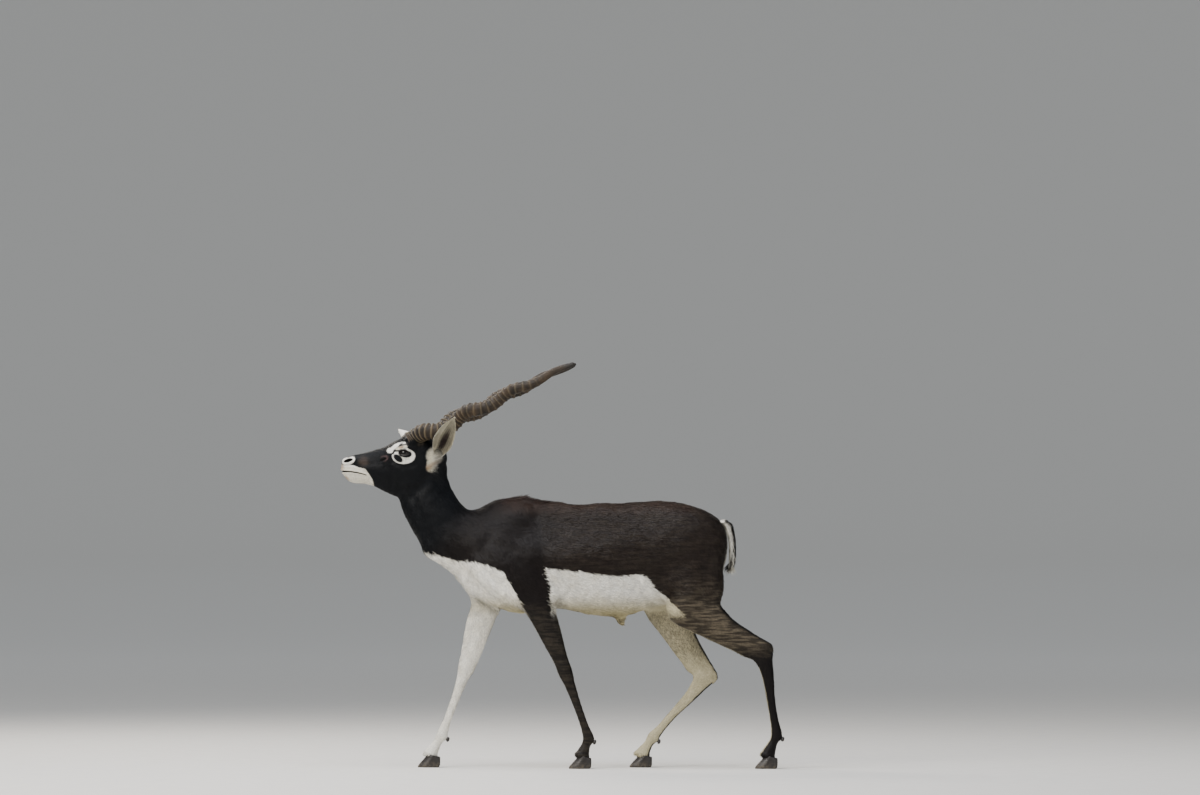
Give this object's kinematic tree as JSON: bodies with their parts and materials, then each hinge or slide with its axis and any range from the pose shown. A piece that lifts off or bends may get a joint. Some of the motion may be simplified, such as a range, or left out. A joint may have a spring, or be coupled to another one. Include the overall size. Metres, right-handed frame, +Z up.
{
  "type": "life-size blackbuck model",
  "caption": "Adult male blackbuck in its dark coat, walking with its head held up and its ringed spiral horns swept back over the neck.",
  "frame": {"origin": "on the floor, below the middle of the bounding box", "axes": "+X towards the tail, +Y towards the animal's right side, +Z up"},
  "size_m": [1.1922, 0.363, 1.0969],
  "materials": {
    "dark_coat": "short dense black-brown fur, white on the belly, chest, muzzle and eye rings",
    "white_coat": "short dense white fur",
    "horn_sheath": "ringed keratin, satin",
    "hoof_horn": "black keratin, satin",
    "wet_eye": "wet gloss"
  },
  "bodies": {
    "root": {"torso": "dark_coat", "neck": "dark_coat", "head": "dark_coat", "tail": "dark_coat", "leg_front_left": "dark_coat", "leg_front_right": "white_coat", "leg_hind_left": "dark_coat", "leg_hind_right": "dark_coat", "ear_left": "dark_coat", "ear_right": "dark_coat", "eye_left": "wet_eye", "eye_right": "wet_eye", "horn_left": "horn_sheath", "horn_right": "horn_sheath", "hoof_front_left_a": "hoof_horn", "hoof_front_left_b": "hoof_horn", "hoof_front_right_a": "hoof_horn", "hoof_front_right_b": "hoof_horn", "hoof_hind_left_a": "hoof_horn", "hoof_hind_left_b": "hoof_horn", "hoof_hind_right_a": "hoof_horn", "hoof_hind_right_b": "hoof_horn"}
  },
  "joints": []
}
